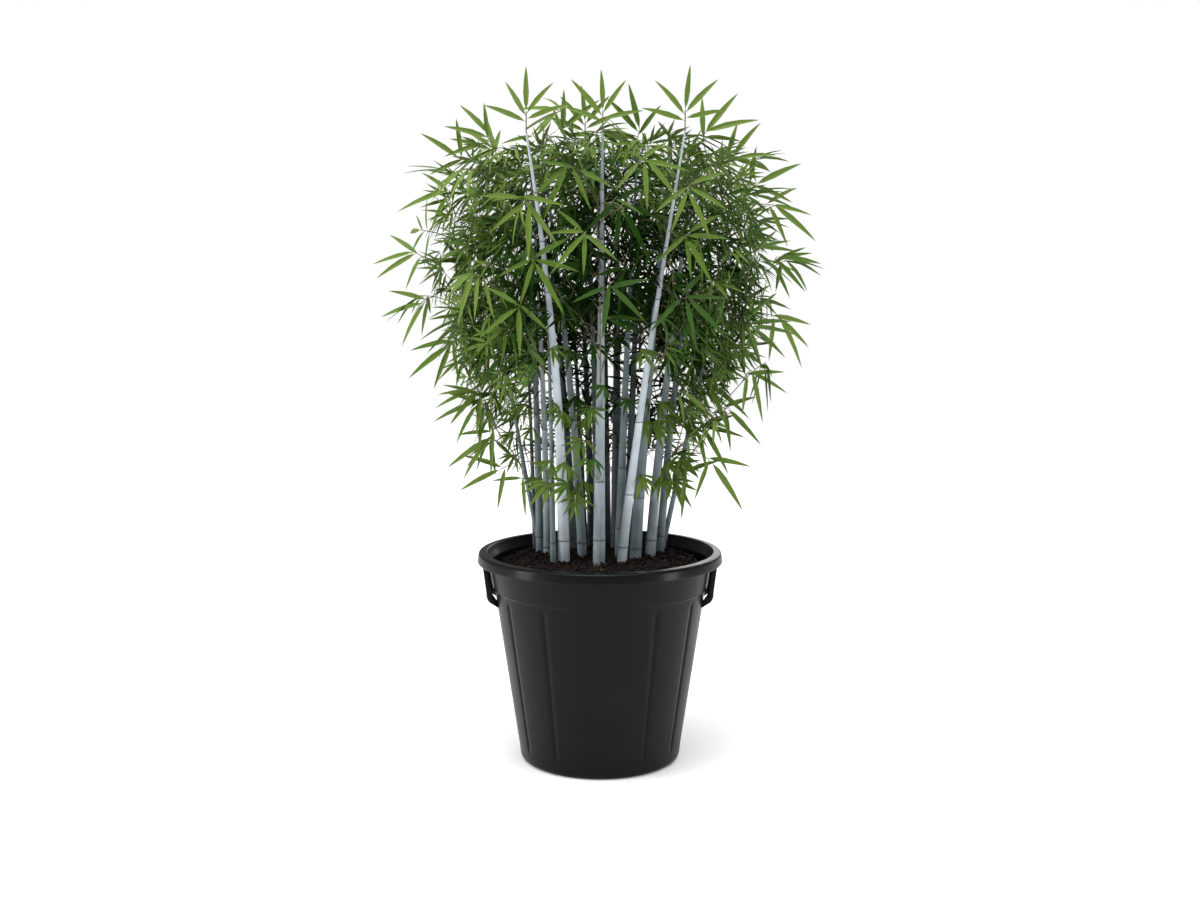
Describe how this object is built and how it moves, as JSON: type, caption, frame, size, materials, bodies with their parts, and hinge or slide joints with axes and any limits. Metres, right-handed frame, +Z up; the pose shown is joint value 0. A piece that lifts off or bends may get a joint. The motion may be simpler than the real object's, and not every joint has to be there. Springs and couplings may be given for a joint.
{
  "type": "potted bamboo",
  "caption": "Clump of upright waxy blue-grey bamboo culms with a domed crown of narrow leaves, growing in a black tapered plastic tub with two side grips.",
  "frame": {"origin": "centre of the tub's flat underside, which is the floor it stands on", "axes": "+Z up along the culms; +X to the viewer's right through the right grip; -Y towards the front, where the three tallest culms lean"},
  "size_m": [0.8978, 0.6852, 1.3728],
  "materials": {
    "tub_plastic": "satin black, injection moulded",
    "grip_plastic": "satin black, injection moulded",
    "compost": "matt crumbly potting compost",
    "culm": "chalky wax bloom over smooth culm",
    "foliage": "satin green leaf"
  },
  "bodies": {
    "root": {"compost": "compost", "culm_back": "culm", "culm_back_centre": "culm", "culm_back_left": "culm", "culm_back_middle": "culm", "culm_back_right": "culm", "culm_back_slim_left": "culm", "culm_back_slim_right": "culm", "culm_centre": "culm", "culm_far_left": "culm", "culm_far_right": "culm", "culm_front_centre": "culm", "culm_front_left": "culm", "culm_front_right": "culm", "culm_inner_dark": "culm", "culm_inner_left": "culm", "culm_inner_right": "culm", "culm_left": "culm", "culm_left_pale": "culm", "culm_left_thin": "culm", "culm_right": "culm", "culm_right_grey": "culm", "culm_second_right": "culm", "culm_slim_left": "culm", "foliage_high_1": "foliage", "foliage_high_2": "foliage", "foliage_high_3": "foliage", "foliage_high_4": "foliage", "foliage_high_5": "foliage", "foliage_high_6": "foliage", "foliage_high_7": "foliage", "foliage_high_8": "foliage", "foliage_low_1": "foliage", "foliage_low_2": "foliage", "foliage_low_3": "foliage", "foliage_low_4": "foliage", "foliage_mid_1": "foliage", "foliage_mid_10": "foliage", "foliage_mid_2": "foliage", "foliage_mid_3": "foliage", "foliage_mid_4": "foliage", "foliage_mid_5": "foliage", "foliage_mid_6": "foliage", "foliage_mid_7": "foliage", "foliage_mid_8": "foliage", "foliage_mid_9": "foliage", "foliage_sprig_centre": "foliage", "foliage_sprig_far_right": "foliage", "foliage_sprig_left": "foliage", "foliage_sprig_right": "foliage", "foliage_top_back_left": "foliage", "foliage_top_back_right": "foliage", "foliage_top_centre": "foliage", "foliage_top_front_centre": "foliage", "foliage_top_front_left": "foliage", "foliage_top_front_right": "foliage", "grip_left": "grip_plastic", "grip_right": "grip_plastic", "rim": "tub_plastic", "tub": "tub_plastic"}
  },
  "joints": []
}
